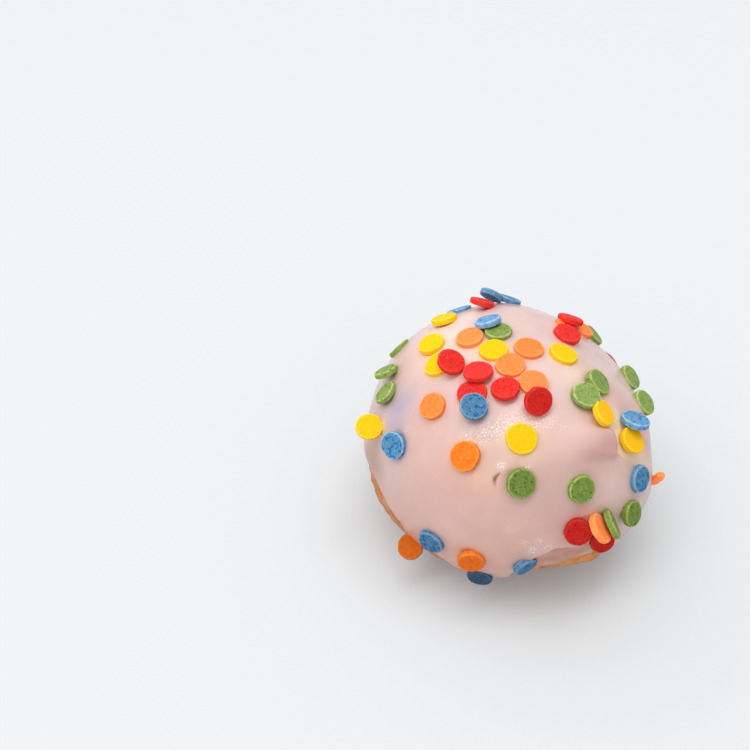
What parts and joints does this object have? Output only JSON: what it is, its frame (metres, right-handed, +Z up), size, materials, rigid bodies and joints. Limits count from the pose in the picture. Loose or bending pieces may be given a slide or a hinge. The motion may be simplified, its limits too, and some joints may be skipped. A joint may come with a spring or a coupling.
{
  "type": "cream puff",
  "caption": "Round glazed cream puff: a browned choux bun under pink icing strewn with flat confetti sprinkles.",
  "frame": {"origin": "on the floor under the middle of the puff, in the plane of its flat foot", "axes": "+Z up through the crown, -Y towards the shown side, +X to that side's right"},
  "size_m": [0.0674, 0.0677, 0.0533],
  "materials": {
    "crust": "browned, craggy",
    "icing": "smooth pink icing with a soft gloss",
    "sprinkle_yellow": "matt, slightly pitted",
    "sprinkle_orange": "matt, slightly pitted",
    "sprinkle_red": "matt, slightly pitted",
    "sprinkle_green": "matt, slightly pitted",
    "sprinkle_blue": "matt, speckled darker"
  },
  "bodies": {
    "root": {"choux": "crust", "icing": "icing"}
  },
  "joints": []
}
